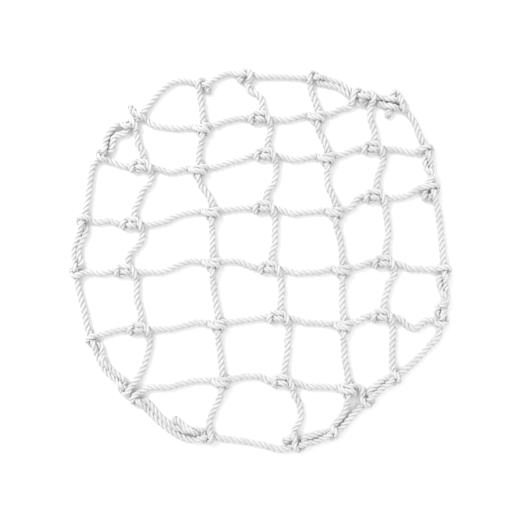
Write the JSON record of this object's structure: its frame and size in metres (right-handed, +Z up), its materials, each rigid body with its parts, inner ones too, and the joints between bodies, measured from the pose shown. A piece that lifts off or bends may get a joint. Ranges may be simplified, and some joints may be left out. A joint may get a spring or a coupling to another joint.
{
  "type": "cargo climbing net",
  "caption": "Knotted rope climbing net: five column ropes and six row ropes, one full turn at each crossing, tied to a wavy round rope border; it folds between its rows.",
  "frame": {"origin": "middle of the underside of the net as it lies flat", "axes": "+X to the right edge, +Y to the top edge, +Z up through the net"},
  "size_m": [0.6561, 0.6605, 0.033],
  "materials": {
    "rope": "white three-strand right-hand laid synthetic rope, soft satin sheen, fine yarn texture",
    "melted_tip": "rope end melted to a hard brownish cap"
  },
  "bodies": {
    "top_strip": {"border_rope_top": "rope", "column_ropes_0": "rope", "side_strand_top_4_to_5_upper": "rope"},
    "row_1_strip": {"border_rope_left_1": "rope", "border_rope_right_1_end": "rope", "border_rope_right_1_start": "rope", "column_ropes_1": "rope", "loose_end_border_tie": "rope", "loose_end_top_left": "rope", "melted_tip_border_tie": "melted_tip", "melted_tip_top_left": "melted_tip", "row_rope_1": "rope", "side_strand_top_4_to_5_lower": "rope"},
    "row_2_strip": {"border_rope_left_2": "rope", "border_rope_right_2": "rope", "column_ropes_2": "rope", "row_rope_2": "rope", "side_strand_left_1_to_2": "rope", "side_strand_right_2_to_3_upper": "rope"},
    "row_3_strip": {"border_rope_left_3": "rope", "border_rope_right_3": "rope", "column_ropes_3": "rope", "loose_end_right_3": "rope", "melted_tip_right_3": "melted_tip", "row_rope_3": "rope", "side_strand_left_3_to_4_upper": "rope", "side_strand_right_2_to_3_lower": "rope"},
    "row_4_strip": {"border_rope_left_4": "rope", "border_rope_right_4": "rope", "column_ropes_4": "rope", "row_rope_4": "rope", "side_strand_left_3_to_4_lower": "rope", "side_strand_right_4_to_5_upper": "rope"},
    "row_5_strip": {"border_rope_left_5": "rope", "border_rope_right_5": "rope", "column_ropes_5": "rope", "row_rope_5": "rope", "side_strand_left_5_to_6_upper": "rope", "side_strand_right_4_to_5_lower": "rope"},
    "row_6_strip": {"border_rope_left_6": "rope", "border_rope_right_6": "rope", "column_ropes_6": "rope", "row_rope_6": "rope", "side_strand_left_5_to_6_lower": "rope", "side_strand_left_6_to_bottom_2_upper": "rope", "side_strand_right_6_to_bottom_5": "rope"},
    "bottom_strip": {"border_rope_bottom": "rope", "column_ropes_7": "rope", "loose_end_bottom_2": "rope", "loose_end_bottom_3": "rope", "melted_tip_bottom_2": "melted_tip", "melted_tip_bottom_3": "melted_tip", "side_strand_bottom_4_to_3": "rope", "side_strand_left_6_to_bottom_2_lower": "rope"}
  },
  "joints": [
    {"name": "fold_1", "type": "hinge", "parent": "row_1_strip", "child": "top_strip", "pos_m": [-0.0185, 0.278, 0.006], "axis": [0.9967, 0.0814, 0], "range_deg": [-45, 45]},
    {"name": "fold_2", "type": "hinge", "parent": "row_2_strip", "child": "row_1_strip", "pos_m": [0.0055, 0.2035, 0.006], "axis": [0.9999, 0.0132, 0], "range_deg": [-45, 45]},
    {"name": "fold_3", "type": "hinge", "parent": "row_3_strip", "child": "row_2_strip", "pos_m": [0.0025, 0.13375, 0.006], "axis": [0.9982, 0.0593, 0], "range_deg": [-45, 45]},
    {"name": "fold_4", "type": "hinge", "parent": "row_4_strip", "child": "row_3_strip", "pos_m": [-0.002, 0.0425, 0.006], "axis": [0.9992, 0.0407, 0], "range_deg": [-45, 45]},
    {"name": "fold_5", "type": "hinge", "parent": "row_4_strip", "child": "row_5_strip", "pos_m": [0.009, -0.063, 0.006], "axis": [-0.9996, -0.0289, 0], "range_deg": [-45, 45]},
    {"name": "fold_6", "type": "hinge", "parent": "row_5_strip", "child": "row_6_strip", "pos_m": [0.0095, -0.165, 0.006], "axis": [-0.9988, -0.048, 0], "range_deg": [-45, 45]},
    {"name": "fold_7", "type": "hinge", "parent": "row_6_strip", "child": "bottom_strip", "pos_m": [-0.007, -0.2575, 0.006], "axis": [-0.9998, -0.0207, 0], "range_deg": [-45, 45]}
  ]
}
